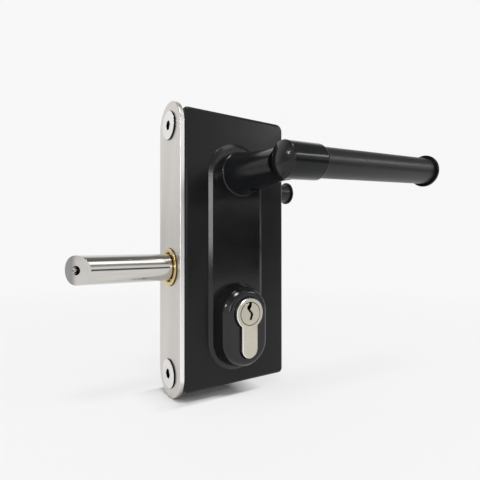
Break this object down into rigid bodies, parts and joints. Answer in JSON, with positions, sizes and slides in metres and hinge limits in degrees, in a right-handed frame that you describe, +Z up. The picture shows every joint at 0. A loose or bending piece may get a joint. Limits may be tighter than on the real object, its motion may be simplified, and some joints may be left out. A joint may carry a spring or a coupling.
{
  "type": "gate lock",
  "caption": "Two-sided gate lock: slim black case behind a round-ended steel faceplate, long bevelled round bolt, tube levers on both sides and a euro profile cylinder.",
  "frame": {"origin": "on the faceplate's outer face, on its centre line, at the height of the lever spindle", "axes": "-X is the way the bolt points, out of the faceplate; -Y is the front side of the lock; +Z is up; the two levers lie along +X at rest"},
  "size_m": [0.1967, 0.152, 0.1669],
  "materials": {
    "case_coat": "satin black powder coat with a fine grain",
    "plate_coat": "satin black powder coat",
    "lever_coat": "semi-gloss black coat",
    "cap_plastic": "gloss black nylon",
    "faceplate_steel": "stainless steel, brushed lengthways",
    "bolt_steel": "stainless steel, turned and polished",
    "screw_steel": "plain stainless steel",
    "gear_steel": "machined steel, lightly oiled",
    "spring_steel": "drawn spring wire",
    "black_steel": "black oxide",
    "inner_plate": "zinc plated, pale yellow",
    "bush_brass": "turned brass",
    "nickel": "satin nickel plate",
    "plug_nickel": "satin nickel plate, polished rim"
  },
  "bodies": {
    "case": {"case_body": "case_coat", "rear_cover": "case_coat", "cover_screws": "black_steel", "faceplate": "faceplate_steel", "faceplate_screws": "screw_steel", "fixing_pillars": "screw_steel", "bolt_bush": "bush_brass", "idler_axle": "screw_steel", "guide_pins": "screw_steel", "spring_seat": "gear_steel", "bolt_spring": "spring_steel", "cylinder_body": "nickel", "cylinder_screw": "screw_steel", "front_plate": "plate_coat", "rear_plate": "plate_coat", "front_rose": "plate_coat", "rear_rose": "plate_coat", "front_cylinder_guard": "plate_coat", "rear_cylinder_guard": "plate_coat"},
    "handles": {"spindle": "gear_steel", "follower": "gear_steel", "front_lever_hub": "lever_coat", "front_lever_grip": "lever_coat", "front_lever_inner_cap": "cap_plastic", "front_lever_outer_cap": "cap_plastic", "front_lever_grub_screw": "black_steel", "rear_lever_hub": "lever_coat", "rear_lever_grip": "lever_coat", "rear_lever_inner_cap": "cap_plastic", "rear_lever_outer_cap": "cap_plastic", "rear_lever_grub_screw": "black_steel"},
    "bolt": {"bolt": "bolt_steel", "bolt_rack": "gear_steel", "rack_screws": "black_steel", "bolt_stud": "gear_steel"},
    "idler": {"idler_pinion": "gear_steel"},
    "cam": {"cylinder_cam": "gear_steel"},
    "front_plug": {"front_cylinder_plug": "plug_nickel"},
    "rear_plug": {"rear_cylinder_plug": "plug_nickel"},
    "deadlock": {"deadlock_plate": "inner_plate"}
  },
  "joints": [
    {"name": "lever_turn", "type": "hinge", "parent": "case", "child": "handles", "pos_m": [0.035, 0, 0], "axis": [0, 1, 0], "range_deg": [0, 45], "stiffness_Nm_per_rad": 1, "springref_deg": -20.05},
    {"name": "bolt_slide", "type": "slide", "parent": "case", "child": "bolt", "axis": [1, 0, 0], "range_m": [0, 0.0224], "deforming": ["bolt_spring"]},
    {"name": "idler_turn", "type": "hinge", "parent": "case", "child": "idler", "pos_m": [0.035, 0, -0.036], "axis": [0, 1, 0], "range_deg": [-171.01, 0]},
    {"name": "front_plug_turn", "type": "hinge", "parent": "case", "child": "front_plug", "pos_m": [0.035, 0, -0.078], "axis": [0, 1, 0], "continuous": true},
    {"name": "cam_turn", "type": "hinge", "parent": "case", "child": "cam", "pos_m": [0.035, 0, -0.078], "axis": [0, 1, 0], "continuous": true},
    {"name": "rear_plug_turn", "type": "hinge", "parent": "case", "child": "rear_plug", "pos_m": [0.035, 0, -0.078], "axis": [0, 1, 0], "continuous": true},
    {"name": "deadlock_lift", "type": "slide", "parent": "case", "child": "deadlock", "axis": [0, 0, 1], "range_m": [0, 0.0034], "stiffness_N_per_m": 120, "springref_m": -0.006}
  ],
  "couplings": [
    {"joint": "bolt_slide", "follows": "lever_turn", "m_per_rad": 0.0285},
    {"joint": "idler_turn", "follows": "lever_turn", "ratio": -3.8},
    {"joint": "cam_turn", "follows": "front_plug_turn", "ratio": 1}
  ]
}
